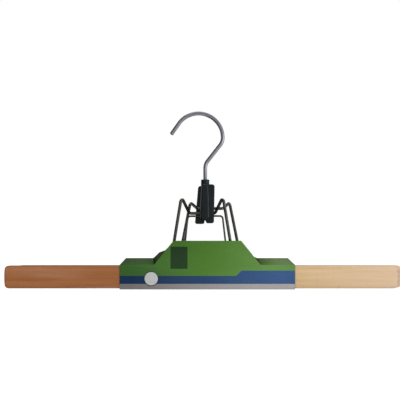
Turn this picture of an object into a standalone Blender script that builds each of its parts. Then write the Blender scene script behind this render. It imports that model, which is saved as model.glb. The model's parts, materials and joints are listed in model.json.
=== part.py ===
"""Skirt hanger: two sprung wooden bars on bent wire frames, a swivelling hook and a card sleeve.

Metres, +Z up, camera side -Y. The origin is the rail seat: the point on the inside of the hook
straight above the hub, where the hanger hangs on its rail. Sizes below count heights from the
underside of the bars and sideways places from the hook's axis; add_object() moves them to the
origin. The front jaw is the one on the camera side.
"""

import math

import bmesh
import bpy
from mathutils import Matrix, Vector

# Clearances, and how far a cutter passes the face that it opens
SEAT_GAP = 0.0003
SLIDE_GAP = 0.00035
OVERRUN = 0.0020

# Wooden bars, their liners and the sideways offset of each jaw from the hook's axis
BAR_LENGTH = 0.380
BAR_HEIGHT = 0.022
BAR_THICKNESS = 0.011
BAR_END_RADIUS = 0.0050
BAR_OUTER_EDGE_RADIUS = 0.0028
BAR_INNER_EDGE_RADIUS = 0.0008
JAW_OFFSET = 0.0039
LINER_LENGTH = 0.372
LINER_HEIGHT = 0.014
LINER_THICKNESS = 0.0015
LINER_CORNER_RADIUS = 0.0015

# Wire frames: each is one wire, foot to foot, with its axle in the middle
COIL_HEIGHT = 0.0755
FRAME_WIRE = 0.0030
FRAME_SHIFT = 0.0010
AXLE_BEND = 0.0030
AXLE_GAP = 0.0018
AXLE_END_CLEARANCE = 0.0009
FRONT_HANDLE_RISE = 0.0124
REAR_HANDLE_RISE = 0.0096
HANDLE_BEND = 0.0022
HANDLE_HALF_SPAN = 0.0198
HANDLE_DEPTH = 0.0170
KNEE_HEIGHT = 0.0440
KNEE_HALF_SPAN = 0.0275
KNEE_BEND = 0.0150
FOOT_HALF_SPAN = 0.0313
FOOT_DEPTH_IN_BAR = 0.0125

# Closing spring: one coil round both axles, a leg to each bar
SPRING_WIRE = 0.0018
SPRING_TURNS = 3
SPRING_TURN_GAP = 0.00045
SPRING_POINTS_PER_TURN = 10
SPRING_AXLE_CLEARANCE = 0.0003
SPRING_LEAD = 0.0017
SPRING_LEAD_BEND = 0.0014
SPRING_KNEE_BEND = 0.0028
SPRING_KNEE_X = 0.0170
SPRING_FOOT_X = 0.0230
SPRING_DEPTH_IN_BAR = 0.0060

# Hub, moulded in two shells that meet on the plane of the axles
HUB_SIDE_WALL = 0.0007
HUB_FRONT_WALL = 0.0035
HUB_FLOOR = 0.0030
HUB_HEAD_FLOOR = 0.0038
HUB_BODY_LENGTH = 0.0166
HUB_NECK_LENGTH = 0.0039
HUB_NECK_RADIUS = 0.00410
HUB_SHOULDER_DROP = 0.0030
HUB_FOOT_RADIUS = 0.0030
HUB_ROUND_STEPS = 4
HUB_SEGMENTS = 40
NECK_SQUARENESS = 2.0
HOUSE_SQUARENESS = 4.0
WING_THICKNESS = 0.0020
WING_SETBACK = 0.0011
WING_DROP_FROM_COLLAR = 0.0014
WING_HANG = 0.0032
WING_ROOT_X = 0.0006
WING_TOP_RADIUS = 0.0026
WING_BOTTOM_RADIUS = 0.0020
WING_EDGE_RADIUS = 0.0005
FRONT_WING_TOP_WIDTH = 0.0092
FRONT_WING_BOTTOM_WIDTH = 0.0085
REAR_WING_TOP_WIDTH = 0.0069
REAR_WING_BOTTOM_WIDTH = 0.0102

# Hook: shank, two reverse bends, bow and tip, angles counted from +X
HOOK_WIRE = 0.0038
HOOK_SHANK_ABOVE_HUB = 0.0152
HOOK_LEAN = 52.0
HOOK_BEND = 0.0120
HOOK_BOW_RISE = 0.0263
HOOK_BOW_X = -0.0065
HOOK_BOW_RADIUS = 0.0237
HOOK_BOW_START = 5.0
HOOK_BOW_END = 145.0
HOOK_BOW_STEPS = 28
HOOK_TIP_LENGTH = 0.0130
HOOK_HEAD_RADIUS = 0.0030
HOOK_HEAD_TOP_RADIUS = 0.00225
HOOK_HEAD_THICKNESS = 0.0024

# Card sleeve
CARD = 0.0005
SLEEVE_X = 0.0020
SLEEVE_HALF_LENGTH = 0.0842
SLEEVE_ROOM = 0.0466
SLEEVE_RISE = 0.0060
SLEEVE_FOLD = 0.0007
TAB_HEIGHT = 0.0460
TAB_TOP_HALF_WIDTH = 0.0325
TAB_BASE_HALF_WIDTH = 0.0513
REAR_TAB_LEFT_TOP = 0.0340
REAR_TAB_LEFT_BASE = 0.0560

# Facets
SMOOTH_ANGLE = 35.0
HOLE_SEGMENTS = 24
BEND_STEPS = 6
HOOK_RESOLUTION = 5
FRAME_RESOLUTION = 4
SPRING_RESOLUTION = 1

# Worked out from the sizes above: the jaws
BAR_INNER_Y = SEAT_GAP / 2 + LINER_THICKNESS + SEAT_GAP
BAR_OUTER_Y = BAR_INNER_Y + BAR_THICKNESS
BAR_MID_Y = (BAR_INNER_Y + BAR_OUTER_Y) / 2

# The spring house, which the coil fits, and the axles through it
AXLE_SPREAD = FRAME_WIRE + AXLE_GAP
FRONT_AXLE_HEIGHT = COIL_HEIGHT - AXLE_SPREAD / 2
REAR_AXLE_HEIGHT = COIL_HEIGHT + AXLE_SPREAD / 2
SPRING_PITCH = SPRING_WIRE + SPRING_TURN_GAP
SPRING_RADIUS = (AXLE_SPREAD + FRAME_WIRE + SPRING_WIRE) / 2 + SPRING_AXLE_CLEARANCE
SPRING_LEG_HEIGHT = COIL_HEIGHT - SPRING_RADIUS
ROOM_RADIUS = SPRING_RADIUS + SPRING_WIRE / 2 + SEAT_GAP
ROOM_HALF_LENGTH = (SPRING_TURNS * SPRING_PITCH + SPRING_WIRE) / 2 + SEAT_GAP
HUB_HALF_WIDTH = ROOM_HALF_LENGTH + HUB_SIDE_WALL
HUB_HALF_DEPTH = ROOM_RADIUS + HUB_FRONT_WALL
AXLE_SIDE_STEP = JAW_OFFSET + FRAME_SHIFT
AXLE_HALF_LENGTH = AXLE_SIDE_STEP + HUB_HALF_WIDTH + FRAME_WIRE / 2 + AXLE_END_CLEARANCE

# Heights up the hub and the hook
HUB_BOTTOM = COIL_HEIGHT - ROOM_RADIUS - HUB_FLOOR
HOOK_HEAD_HEIGHT = COIL_HEIGHT + ROOM_RADIUS + HUB_HEAD_FLOOR
HUB_COLLAR_HEIGHT = HOOK_HEAD_HEIGHT + HUB_BODY_LENGTH
HUB_TOP = HUB_COLLAR_HEIGHT + HUB_NECK_LENGTH
WING_TOP = HUB_COLLAR_HEIGHT - WING_DROP_FROM_COLLAR
WING_BOTTOM = HUB_BOTTOM - WING_HANG
HOOK_LEAN_HEIGHT = HUB_TOP + HOOK_SHANK_ABOVE_HUB
HOOK_BOW_HEIGHT = HOOK_LEAN_HEIGHT + HOOK_BOW_RISE
HOOK_INNER_RADIUS = HOOK_BOW_RADIUS - HOOK_WIRE / 2
RAIL_SEAT_HEIGHT = HOOK_BOW_HEIGHT + math.sqrt(HOOK_INNER_RADIUS**2 - HOOK_BOW_X**2)

FRONT = -1
REAR = 1


def material(name, colour, roughness, metallic=0.0):
    """A plain Principled BSDF finish."""
    found = bpy.data.materials.new(name)
    found.use_nodes = True
    shader = found.node_tree.nodes["Principled BSDF"]
    shader.inputs["Base Color"].default_value = (*colour, 1.0)
    shader.inputs["Roughness"].default_value = roughness
    shader.inputs["Metallic"].default_value = metallic
    found.diffuse_color = (*colour, 1.0)
    return found


def world_place(empty):
    """Where an empty stands in the world, adding up its parents' locations."""
    place = Vector()
    while empty is not None:
        place += empty.location
        empty = empty.parent
    return place


def joint_empty(name, x, y, height, parent=None):
    """An empty on a joint's axis, placed by its hanger sizes whatever carries it."""
    empty = bpy.data.objects.new(name, None)
    bpy.context.scene.collection.objects.link(empty)
    place = Vector((x, y, height - RAIL_SEAT_HEIGHT))
    empty.location = place - world_place(parent)
    empty.parent = parent
    return empty


def add_object(name, data, carrier):
    """Link an object whose data is in hanger sizes, with its origin on its carrier's axis."""
    shift = Vector((0.0, 0.0, -RAIL_SEAT_HEIGHT)) - world_place(carrier)
    data.transform(Matrix.Translation(shift))
    made = bpy.data.objects.new(name, data)
    bpy.context.scene.collection.objects.link(made)
    made.parent = carrier
    return made


def add_piece(name, data, carrier, finish):
    """A piece of the hanger in its own material, shaded smooth."""
    made = add_object(name, data, carrier)
    data.materials.append(finish)
    if isinstance(data, bpy.types.Mesh):
        data.shade_smooth()
        data.set_sharp_from_angle(angle=math.radians(SMOOTH_ANGLE))
    return made


def cut(piece, data, operation="DIFFERENCE"):
    """A Boolean on a piece with a hidden guide of its own."""
    guide = add_object(f"{piece.name}_guide_{len(piece.modifiers)}", data, piece.parent)
    guide.hide_render = True
    guide.display_type = "WIRE"
    modifier = piece.modifiers.new(guide.name, "BOOLEAN")
    modifier.operation = operation
    modifier.solver = "EXACT"
    modifier.object = guide


def finish_mesh(name, work):
    """Turn a bmesh into a mesh with its faces pointing out."""
    bmesh.ops.remove_doubles(work, verts=work.verts, dist=1e-6)
    bmesh.ops.recalc_face_normals(work, faces=work.faces)
    data = bpy.data.meshes.new(name)
    work.to_mesh(data)
    work.free()
    return data


def rod(name, start, end, radius):
    """A round rod between two points."""
    along = end - start
    turn = along.to_track_quat("Z", "Y").to_matrix().to_4x4()
    work = bmesh.new()
    bmesh.ops.create_cone(
        work,
        cap_ends=True,
        segments=HOLE_SEGMENTS,
        radius1=radius,
        radius2=radius,
        depth=along.length,
        matrix=Matrix.Translation((start + end) / 2) @ turn,
    )
    return finish_mesh(name, work)


def block(name, corner, opposite):
    """A plain box between two opposite corners."""
    work = bmesh.new()
    bmesh.ops.create_cube(work, size=1.0)
    bmesh.ops.scale(work, vec=[abs(side) for side in opposite - corner], verts=work.verts)
    bmesh.ops.translate(work, vec=(corner + opposite) / 2, verts=work.verts)
    return finish_mesh(name, work)


def bent_path(corners, bends):
    """A wire's centre line: straight runs between corners, each corner bent to its own radius."""
    path = [corners[0]]
    for before, corner, after, bend in zip(corners, corners[1:], corners[2:], bends):
        back = (before - corner).normalized()
        ahead = (after - corner).normalized()
        half_turn = (math.pi - back.angle(ahead)) / 2
        run = bend * math.tan(half_turn)
        centre = corner + (back + ahead).normalized() * bend / math.cos(half_turn)
        first = corner + back * run - centre
        axis = first.cross(corner + ahead * run - centre).normalized()
        for step in range(BEND_STEPS + 1):
            turn = Matrix.Rotation(2 * half_turn * step / BEND_STEPS, 3, axis)
            path.append(centre + turn @ first)
    path.append(corners[-1])
    return path


def wire(name, path, diameter, resolution, head=()):
    """Round wire along a path of points, closed at both ends; head gives its first points' radii."""
    data = bpy.data.curves.new(name, "CURVE")
    data.dimensions = "3D"
    data.bevel_depth = diameter / 2
    data.bevel_resolution = resolution
    data.use_fill_caps = True
    spline = data.splines.new("POLY")
    spline.points.add(len(path) - 1)
    for point, place in zip(spline.points, path):
        point.co = (*place, 1.0)
    for point, radius in zip(spline.points, head):
        point.radius = radius / data.bevel_depth
    return data


def round_edges(work, edges, radius, segments):
    """Round a bmesh's edges to a radius."""
    bmesh.ops.bevel(
        work,
        geom=edges,
        offset=radius,
        offset_type="OFFSET",
        affect="EDGES",
        segments=segments,
        profile=0.5,
        material=-1,
        clamp_overlap=True,
    )


def plate(corners, near_y, far_y):
    """A flat plate between two depths, its outline from (x, height, radius) corners."""
    work = bmesh.new()
    places = [Vector((x, near_y, height)) for x, height, _ in corners]
    ring = []
    for index, (_, _, radius) in enumerate(corners):
        after = places[(index + 1) % len(places)]
        if radius == 0.0:
            ring.append(places[index])
        else:
            ring += bent_path([places[index - 1], places[index], after], [radius])[1:-1]
    face = work.faces.new([work.verts.new(place) for place in ring])
    raised = bmesh.ops.extrude_face_region(work, geom=[face])
    verts = [v for v in raised["geom"] if isinstance(v, bmesh.types.BMVert)]
    bmesh.ops.translate(work, vec=(0.0, far_y - near_y, 0.0), verts=verts)
    bmesh.ops.recalc_face_normals(work, faces=work.faces)
    return work


def rim(work, depth_y):
    """The edges round the flat face that lies at a depth."""
    return [
        edge
        for edge in work.edges
        if all(abs(v.co.y - depth_y) < 1e-6 for v in edge.verts)
    ]


def box_corners(centre_x, half_length, low, high, radius):
    """The four rounded corners of an upright rectangle."""
    return [
        (centre_x - half_length, low, radius),
        (centre_x + half_length, low, radius),
        (centre_x + half_length, high, radius),
        (centre_x - half_length, high, radius),
    ]


def jaw_centre(side):
    """The front jaw sits to the left of the hook's axis, the rear jaw as far to the right."""
    return side * JAW_OFFSET


def frame_centre(side):
    """Each frame sits a little to the right of its bar's middle."""
    return jaw_centre(side) + FRAME_SHIFT


def frame_leg(side, hand):
    """A frame's straight run from its knee down to its foot in the bar, left (-1) or right (1)."""
    y = side * BAR_MID_Y
    knee = Vector((frame_centre(side) + hand * KNEE_HALF_SPAN, y, KNEE_HEIGHT))
    foot_height = BAR_HEIGHT - FOOT_DEPTH_IN_BAR
    foot = Vector((frame_centre(side) + hand * FOOT_HALF_SPAN, y, foot_height))
    return knee, foot


def frame_path(side, axle_height):
    """A whole frame: foot, knee, handle bend, axle through the hub, and the same again."""
    centre = frame_centre(side)
    handle_height = COIL_HEIGHT + (FRONT_HANDLE_RISE if side == FRONT else REAR_HANDLE_RISE)
    left_knee, left_foot = frame_leg(side, -1)
    right_knee, right_foot = frame_leg(side, 1)
    left_handle = Vector((centre - HANDLE_HALF_SPAN, side * HANDLE_DEPTH, handle_height))
    right_handle = Vector((centre + HANDLE_HALF_SPAN, side * HANDLE_DEPTH, handle_height))
    left_axle = Vector((centre - AXLE_HALF_LENGTH, 0.0, axle_height))
    right_axle = Vector((centre + AXLE_HALF_LENGTH, 0.0, axle_height))
    corners = [left_foot, left_knee, left_handle, left_axle]
    corners += [right_axle, right_handle, right_knee, right_foot]
    bends = [KNEE_BEND, HANDLE_BEND, AXLE_BEND, AXLE_BEND, HANDLE_BEND, KNEE_BEND]
    return bent_path(corners, bends)


def spring_leg(side):
    """The spring's leg to one jaw: its lead off the coil, its knee and its foot in the bar."""
    hand = -side
    coil_end_x = hand * SPRING_TURNS * SPRING_PITCH / 2
    lead = Vector((coil_end_x, side * SPRING_LEAD, SPRING_LEG_HEIGHT))
    knee = Vector((hand * SPRING_KNEE_X, side * SPRING_LEAD, SPRING_LEG_HEIGHT))
    foot = Vector((hand * SPRING_FOOT_X, side * BAR_MID_Y, BAR_HEIGHT - SPRING_DEPTH_IN_BAR))
    return lead, knee, foot


def spring_path():
    """Left leg, the turns about the axles, right leg, as one unbroken wire."""
    half_turns = SPRING_TURNS * math.pi
    count = SPRING_TURNS * SPRING_POINTS_PER_TURN
    coil = []
    for index in range(count + 1):
        angle = half_turns * (2 * index / count - 1)
        x = SPRING_PITCH * angle / (2 * math.pi)
        y = SPRING_RADIUS * math.sin(angle)
        coil.append(Vector((x, y, COIL_HEIGHT + SPRING_RADIUS * math.cos(angle))))
    lead, knee, foot = spring_leg(REAR)
    left = bent_path([foot, knee, lead, coil[0]], [SPRING_KNEE_BEND, SPRING_LEAD_BEND])
    lead, knee, foot = spring_leg(FRONT)
    right = bent_path([coil[-1], lead, knee, foot], [SPRING_LEAD_BEND, SPRING_KNEE_BEND])
    return left[:-1] + coil + right[1:]


def least_gap(path, diameter):
    """The least clear distance between turns, measured on points further apart than a bend."""
    along = [0.0]
    for before, after in zip(path, path[1:]):
        along.append(along[-1] + (after - before).length)
    nearest = min(
        (path[a] - path[b]).length
        for a in range(len(path))
        for b in range(a + 1, len(path))
        if along[b] - along[a] > math.pi * SPRING_RADIUS
    )
    return nearest - diameter


def hook_path():
    """The hook's centre line, from the underside of its head to its tip."""
    centre = Vector((HOOK_BOW_X, 0.0, HOOK_BOW_HEIGHT))
    bow = []
    for step in range(HOOK_BOW_STEPS + 1):
        share = step / HOOK_BOW_STEPS
        turn = math.radians(HOOK_BOW_START + (HOOK_BOW_END - HOOK_BOW_START) * share)
        bow.append(centre + HOOK_BOW_RADIUS * Vector((math.cos(turn), 0.0, math.sin(turn))))
    start = math.radians(HOOK_BOW_START)
    end = math.radians(HOOK_BOW_END)
    lean = math.radians(HOOK_LEAN)

    # The lean ends where it meets the line that runs straight down off the start of the bow
    foot = Vector((0.0, 0.0, HOOK_LEAN_HEIGHT))
    down = Vector((math.sin(start), 0.0, -math.cos(start)))
    up = Vector((math.cos(lean), 0.0, math.sin(lean)))
    to_bow = bow[0] - foot
    reach = (to_bow.x * down.z - to_bow.z * down.x) / (up.x * down.z - up.z * down.x)
    shoulder = foot + up * reach

    head_base = Vector((0.0, 0.0, HOOK_HEAD_HEIGHT))
    head_top = Vector((0.0, 0.0, HOOK_HEAD_HEIGHT + HOOK_HEAD_THICKNESS))
    shank = head_top + Vector((0.0, 0.0, SEAT_GAP))
    rise = bent_path([shank, foot, shoulder, bow[0]], [HOOK_BEND, HOOK_BEND])
    tip = bow[-1] + HOOK_TIP_LENGTH * Vector((-math.sin(end), 0.0, math.cos(end)))
    return [head_base, head_top] + rise + bow[1:] + [tip]


def make_jaw(side, carrier, axle_height, finishes):
    """One jaw: a bar drilled for its frame and spring leg, its liner and its wire frame."""
    word = "front" if side == FRONT else "rear"
    centre = jaw_centre(side)
    inner = side * BAR_INNER_Y
    outer = side * BAR_OUTER_Y
    work = plate(
        box_corners(centre, BAR_LENGTH / 2, 0.0, BAR_HEIGHT, BAR_END_RADIUS), inner, outer
    )
    round_edges(work, rim(work, outer), BAR_OUTER_EDGE_RADIUS, 3)
    round_edges(work, rim(work, inner), BAR_INNER_EDGE_RADIUS, 1)
    bar = add_piece(f"{word}_bar", finish_mesh("bar", work), carrier, finishes["wood"])
    for hand in (-1, 1):
        knee, foot = frame_leg(side, hand)
        deeper = foot + (foot - knee).normalized() * SEAT_GAP
        cut(bar, rod("frame_hole", deeper, knee, FRAME_WIRE / 2 + SEAT_GAP))
    _, knee, foot = spring_leg(side)
    deeper = foot + (foot - knee).normalized() * SEAT_GAP
    cut(bar, rod("spring_hole", deeper, knee, SPRING_WIRE / 2 + SEAT_GAP))

    low = (BAR_HEIGHT - LINER_HEIGHT) / 2
    high = (BAR_HEIGHT + LINER_HEIGHT) / 2
    work = plate(
        box_corners(centre, LINER_LENGTH / 2, low, high, LINER_CORNER_RADIUS),
        side * SEAT_GAP / 2,
        inner - side * SEAT_GAP,
    )
    add_piece(f"{word}_liner", finish_mesh("liner", work), carrier, finishes["felt"])

    frame = wire("frame", frame_path(side, axle_height), FRAME_WIRE, FRAME_RESOLUTION)
    add_piece(f"{word}_frame", frame, carrier, finishes["wire"])


def hub_levels():
    """The hub's body from the top down: (height, half width, half depth, squareness)."""
    levels = [(HUB_TOP, HUB_NECK_RADIUS, HUB_NECK_RADIUS, NECK_SQUARENESS)]
    turns = [math.pi / 2 * step / HUB_ROUND_STEPS for step in range(HUB_ROUND_STEPS + 1)]
    for turn in turns:
        share = math.sin(turn)
        levels.append(
            (
                HUB_COLLAR_HEIGHT - HUB_SHOULDER_DROP * (1 - math.cos(turn)),
                HUB_NECK_RADIUS,
                HUB_NECK_RADIUS + (HUB_HALF_DEPTH - HUB_NECK_RADIUS) * share,
                NECK_SQUARENESS + (HOUSE_SQUARENESS - NECK_SQUARENESS) * share,
            )
        )
    levels.append((COIL_HEIGHT + ROOM_RADIUS, HUB_HALF_WIDTH, HUB_HALF_DEPTH, HOUSE_SQUARENESS))
    for turn in turns:
        tuck = HUB_FOOT_RADIUS * (1 - math.cos(turn))
        height = HUB_BOTTOM + HUB_FOOT_RADIUS * (1 - math.sin(turn))
        levels.append((height, HUB_HALF_WIDTH - tuck, HUB_HALF_DEPTH - tuck, HOUSE_SQUARENESS))
    return levels


def level_ring(work, height, half_width, half_depth, squareness):
    """One level of the hub: an ellipse that squares up as squareness grows from 2."""
    power = 2 / squareness
    ring = []
    for index in range(HUB_SEGMENTS):
        turn = 2 * math.pi * (index + 0.5) / HUB_SEGMENTS
        x = half_width * math.copysign(abs(math.cos(turn)) ** power, math.cos(turn))
        y = half_depth * math.copysign(abs(math.sin(turn)) ** power, math.sin(turn))
        ring.append(work.verts.new((x, y, height)))
    return ring


def hub_half(side):
    """Half of the hub's body, cut on the plane of the axles."""
    work = bmesh.new()
    rings = [level_ring(work, *level) for level in hub_levels()]
    for near, far in zip(rings, rings[1:]):
        for index in range(HUB_SEGMENTS):
            work.faces.new((near[index - 1], near[index], far[index], far[index - 1]))
    work.faces.new(rings[0])
    work.faces.new(rings[-1])
    bmesh.ops.recalc_face_normals(work, faces=work.faces)
    halves = bmesh.ops.bisect_plane(
        work,
        geom=work.verts[:] + work.edges[:] + work.faces[:],
        plane_co=(0.0, side * SEAT_GAP / 2, 0.0),
        plane_no=(0.0, side, 0.0),
        clear_inner=True,
    )
    edges = [e for e in halves["geom_cut"] if isinstance(e, bmesh.types.BMEdge)]
    bmesh.ops.holes_fill(work, edges=edges)
    return finish_mesh("hub_half", work)


def make_shell(side, carrier, finish):
    """One hub shell: half the body, a wing, and the rooms for hook, spring and axles."""
    word = "front" if side == FRONT else "rear"
    hand = -side
    shell = add_piece(f"hub_{word}_shell", hub_half(side), carrier, finish)

    top_width = FRONT_WING_TOP_WIDTH if side == FRONT else REAR_WING_TOP_WIDTH
    bottom_width = FRONT_WING_BOTTOM_WIDTH if side == FRONT else REAR_WING_BOTTOM_WIDTH
    corners = [
        (hand * WING_ROOT_X, WING_BOTTOM, WING_BOTTOM_RADIUS),
        (hand * bottom_width, WING_BOTTOM, WING_BOTTOM_RADIUS),
        (hand * top_width, WING_TOP, WING_TOP_RADIUS),
        (hand * WING_ROOT_X, WING_TOP, 0.0),
    ]
    outer = side * (HUB_HALF_DEPTH - WING_SETBACK)
    work = plate(corners, outer - side * WING_THICKNESS, outer)
    round_edges(work, rim(work, outer), WING_EDGE_RADIUS, 2)
    cut(shell, finish_mesh("wing", work), "UNION")

    past_side = Vector((HUB_HALF_WIDTH + OVERRUN, 0.0, 0.0))
    for height in (FRONT_AXLE_HEIGHT, REAR_AXLE_HEIGHT):
        middle = Vector((0.0, 0.0, height))
        hole = rod("axle_hole", middle - past_side, middle + past_side, FRAME_WIRE / 2 + SEAT_GAP)
        cut(shell, hole)
    coil = Vector((0.0, 0.0, COIL_HEIGHT))
    reach = Vector((ROOM_HALF_LENGTH, 0.0, 0.0))
    cut(shell, rod("spring_room", coil - reach, coil + reach, ROOM_RADIUS))
    lead, _, _ = spring_leg(side)
    half_slot = SPRING_WIRE / 2 + SEAT_GAP
    across = Vector((hand * past_side.x, lead.y + side * half_slot, lead.z + half_slot))
    cut(shell, block("leg_slot", Vector((0.0, -side * SEAT_GAP, lead.z - half_slot)), across))

    base = Vector((0.0, 0.0, HOOK_HEAD_HEIGHT - SEAT_GAP))
    head_top = Vector((0.0, 0.0, HOOK_HEAD_HEIGHT + HOOK_HEAD_THICKNESS + SEAT_GAP))
    above = Vector((0.0, 0.0, HUB_TOP + OVERRUN))
    cut(shell, rod("hook_bore", base, above, HOOK_WIRE / 2 + SEAT_GAP))
    cut(shell, rod("head_room", base, head_top, HOOK_HEAD_RADIUS + SEAT_GAP))


def sleeve_wall(work, depth_y, fold_height, left_top, left_base):
    """The corners of the sleeve's front or back: a long panel with a tab rising from its fold."""
    shape = [
        (-SLEEVE_HALF_LENGTH, -(SLIDE_GAP + CARD / 2)),
        (SLEEVE_HALF_LENGTH, -(SLIDE_GAP + CARD / 2)),
        (SLEEVE_HALF_LENGTH, fold_height),
        (TAB_BASE_HALF_WIDTH, fold_height),
        (TAB_TOP_HALF_WIDTH, TAB_HEIGHT),
        (-left_top, TAB_HEIGHT),
        (-left_base, fold_height),
        (-SLEEVE_HALF_LENGTH, fold_height),
    ]
    return [work.verts.new((SLEEVE_X + x, depth_y, height)) for x, height in shape]


def make_sleeve(carrier, finish):
    """One die-cut card: front, underside and back, a folded strip on each side and two tabs."""
    front_y = -(BAR_OUTER_Y + SLIDE_GAP + CARD / 2)
    front_fold = BAR_HEIGHT + SLIDE_GAP + CARD / 2
    work = bmesh.new()
    back_y = front_y + CARD + SLEEVE_ROOM
    back_fold = front_fold + SLEEVE_RISE
    front = sleeve_wall(work, front_y, front_fold, TAB_TOP_HALF_WIDTH, TAB_BASE_HALF_WIDTH)
    back = sleeve_wall(work, back_y, back_fold, REAR_TAB_LEFT_TOP, REAR_TAB_LEFT_BASE)
    work.faces.new(front)
    work.faces.new(back[::-1])
    work.faces.new((front[1], front[0], back[0], back[1]))
    work.faces.new((front[3], front[2], back[2], back[3]))
    work.faces.new((front[7], front[6], back[6], back[7]))
    bmesh.ops.recalc_face_normals(work, faces=work.faces)
    folds = [edge for edge in work.edges if len(edge.link_faces) == 2]
    round_edges(work, folds, SLEEVE_FOLD, 2)
    data = bpy.data.meshes.new("card_sleeve")
    work.to_mesh(data)
    work.free()
    sleeve = add_piece("card_sleeve", data, carrier, finish)
    wall = sleeve.modifiers.new("card", "SOLIDIFY")
    wall.thickness = CARD
    wall.offset = 0.0
    wall.use_even_offset = True


def main():
    for old in list(bpy.data.objects):
        bpy.data.objects.remove(old, do_unlink=True)

    finishes = {
        "wood": material("beech wood", (0.60, 0.34, 0.17), 0.55),
        "felt": material("felt liner", (0.16, 0.12, 0.10), 0.95),
        "wire": material("dark steel wire", (0.16, 0.16, 0.15), 0.35, 1.0),
        "plastic": material("black plastic", (0.010, 0.013, 0.013), 0.40),
        "chrome": material("chromed wire", (0.62, 0.62, 0.64), 0.14, 1.0),
        "card": material("printed card", (0.06, 0.21, 0.03), 0.45),
    }

    hook_axis = joint_empty("hook_axis", 0.0, 0.0, HOOK_HEAD_HEIGHT)
    hub_axis = joint_empty("hub_axis", 0.0, 0.0, HOOK_HEAD_HEIGHT, hook_axis)
    front_axle = joint_empty("front_axle", 0.0, 0.0, FRONT_AXLE_HEIGHT, hub_axis)
    rear_axle = joint_empty("rear_axle", 0.0, 0.0, REAR_AXLE_HEIGHT, hub_axis)
    sleeve_guide = joint_empty("sleeve_guide", 0.0, -BAR_MID_Y, 0.0, front_axle)

    head_radii = (HOOK_HEAD_RADIUS, HOOK_HEAD_TOP_RADIUS)
    hook = wire("hook", hook_path(), HOOK_WIRE, HOOK_RESOLUTION, head_radii)
    add_piece("hook", hook, hook_axis, finishes["chrome"])
    make_shell(FRONT, hub_axis, finishes["plastic"])
    make_shell(REAR, hub_axis, finishes["plastic"])
    turns = spring_path()
    spring = wire("closing_spring", turns, SPRING_WIRE, SPRING_RESOLUTION)
    add_piece("closing_spring", spring, hub_axis, finishes["wire"])
    make_jaw(FRONT, front_axle, FRONT_AXLE_HEIGHT, finishes)
    make_jaw(REAR, rear_axle, REAR_AXLE_HEIGHT, finishes)
    make_sleeve(sleeve_guide, finishes["card"])

    print(f"rail seat stands {RAIL_SEAT_HEIGHT * 1000:.3f} mm above the underside of the bars")
    print(f"closing spring: least gap to itself {least_gap(turns, SPRING_WIRE) * 1000:.2f} mm")


main()
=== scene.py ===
"""Finished looks of a skirt hanger: plated hook, moulded hub, sprung wire frames, wooden bars, card.

Metres, +Z up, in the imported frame, whose origin is the rail seat inside the hook. Heights named
below count from the underside of the bars, and sideways places from the hook's axis.
"""

import json
import math

import bmesh
import bpy
from mathutils import Matrix, Vector


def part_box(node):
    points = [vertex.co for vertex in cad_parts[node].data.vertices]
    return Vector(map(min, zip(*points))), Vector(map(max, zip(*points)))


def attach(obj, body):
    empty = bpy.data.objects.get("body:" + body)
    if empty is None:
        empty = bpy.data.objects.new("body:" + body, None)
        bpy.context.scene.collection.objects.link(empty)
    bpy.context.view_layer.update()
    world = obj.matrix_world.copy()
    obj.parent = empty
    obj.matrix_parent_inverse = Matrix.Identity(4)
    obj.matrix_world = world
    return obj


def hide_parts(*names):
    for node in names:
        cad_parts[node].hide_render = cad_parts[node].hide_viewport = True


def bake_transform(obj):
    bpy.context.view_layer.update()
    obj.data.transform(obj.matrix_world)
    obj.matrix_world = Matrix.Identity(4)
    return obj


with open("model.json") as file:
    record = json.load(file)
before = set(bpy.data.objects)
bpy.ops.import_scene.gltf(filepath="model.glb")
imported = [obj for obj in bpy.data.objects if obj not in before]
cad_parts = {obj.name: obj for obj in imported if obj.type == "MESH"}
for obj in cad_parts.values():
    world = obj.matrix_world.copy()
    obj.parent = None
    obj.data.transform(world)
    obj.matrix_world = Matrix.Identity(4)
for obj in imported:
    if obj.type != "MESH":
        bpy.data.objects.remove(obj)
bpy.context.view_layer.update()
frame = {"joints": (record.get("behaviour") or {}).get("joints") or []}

bl_info = {
    "name": "Skirt hanger looks",
    "version": (1, 0, 0),
    "blender": (4, 5, 0),
    "location": "View3D > Sidebar > Hanger",
    "description": "Builds the finished pieces of a sprung skirt hanger over its packed frame",
    "category": "Object",
}

FRONT = -1
REAR = 1
SIDES = {FRONT: "front", REAR: "rear"}

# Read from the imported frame
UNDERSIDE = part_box("front_bar")[0].z
HINGES = {joint["name"]: Vector(joint["pos_m"]) for joint in frame["joints"] if "pos_m" in joint}
AXLE_Z = {FRONT: HINGES["front_jaw_hinge"].z, REAR: HINGES["rear_jaw_hinge"].z}
COIL_Z = (AXLE_Z[FRONT] + AXLE_Z[REAR]) / 2
HOOK_HEAD_Z = HINGES["hook_swivel"].z
HUB_TOP_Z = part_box("hub_front_shell")[1].z

UP = Vector((0.0, 0.0, 1.0))
RIGHT = Vector((1.0, 0.0, 0.0))

# Gaps, and how far a cutting tool stands out of what it cuts
SEAT_GAP = 0.0003
BORE_GAP = 0.0001
SHANK_GAP = 0.0002
DRILL_GAP = 0.00015
TOOL_PAST = 0.0020

# Wires and frames, with heights above the bars' underside
WIRE_END_TURN = math.radians(80.0)
FRAME_WIRE = 0.0030
FRAME_SHIFT = 0.0010
AXLE_BEND = 0.0030
AXLE_HALF_LENGTH = 0.012575
HANDLE_HEIGHT = {FRONT: 0.0879, REAR: 0.0851}
HANDLE_BEND = 0.0022
HANDLE_HALF_SPAN = 0.0198
HANDLE_DEPTH = 0.0170
KNEE_HEIGHT = 0.0440
KNEE_HALF_SPAN = 0.0275
KNEE_BEND = 0.0150
FOOT_HALF_SPAN = 0.0313
FOOT_HEIGHT = 0.0095

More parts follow.
